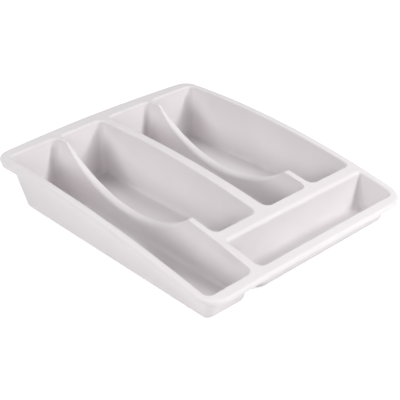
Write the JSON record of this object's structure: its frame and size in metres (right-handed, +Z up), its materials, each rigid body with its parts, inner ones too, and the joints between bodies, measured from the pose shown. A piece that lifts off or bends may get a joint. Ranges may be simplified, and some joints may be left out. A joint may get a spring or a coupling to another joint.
{
  "type": "cutlery tray",
  "caption": "Low-fronted moulded cutlery tray with long scooped compartments side by side, one across the front, an arched rim and a turned-down lip.",
  "frame": {"origin": "middle of the tray's outline in plan, on the surface that its floors stand on", "axes": "+Z up; +Y from the low front edge to the high back edge; +X across, from the long compartment's side to the other side"},
  "size_m": [0.2964, 0.3865, 0.0705],
  "materials": {
    "tray_plastic": "satin moulded, off-white"
  },
  "bodies": {
    "root": {"long_compartment": "tray_plastic", "back_left_compartment": "tray_plastic", "back_middle_compartment": "tray_plastic", "back_right_compartment": "tray_plastic", "front_compartment": "tray_plastic", "left_rib_top": "tray_plastic", "middle_rib_top": "tray_plastic", "right_rib_top": "tray_plastic", "cross_rib_top": "tray_plastic", "front_rim": "tray_plastic", "back_rim": "tray_plastic", "left_rim": "tray_plastic", "right_rim": "tray_plastic"}
  },
  "joints": []
}
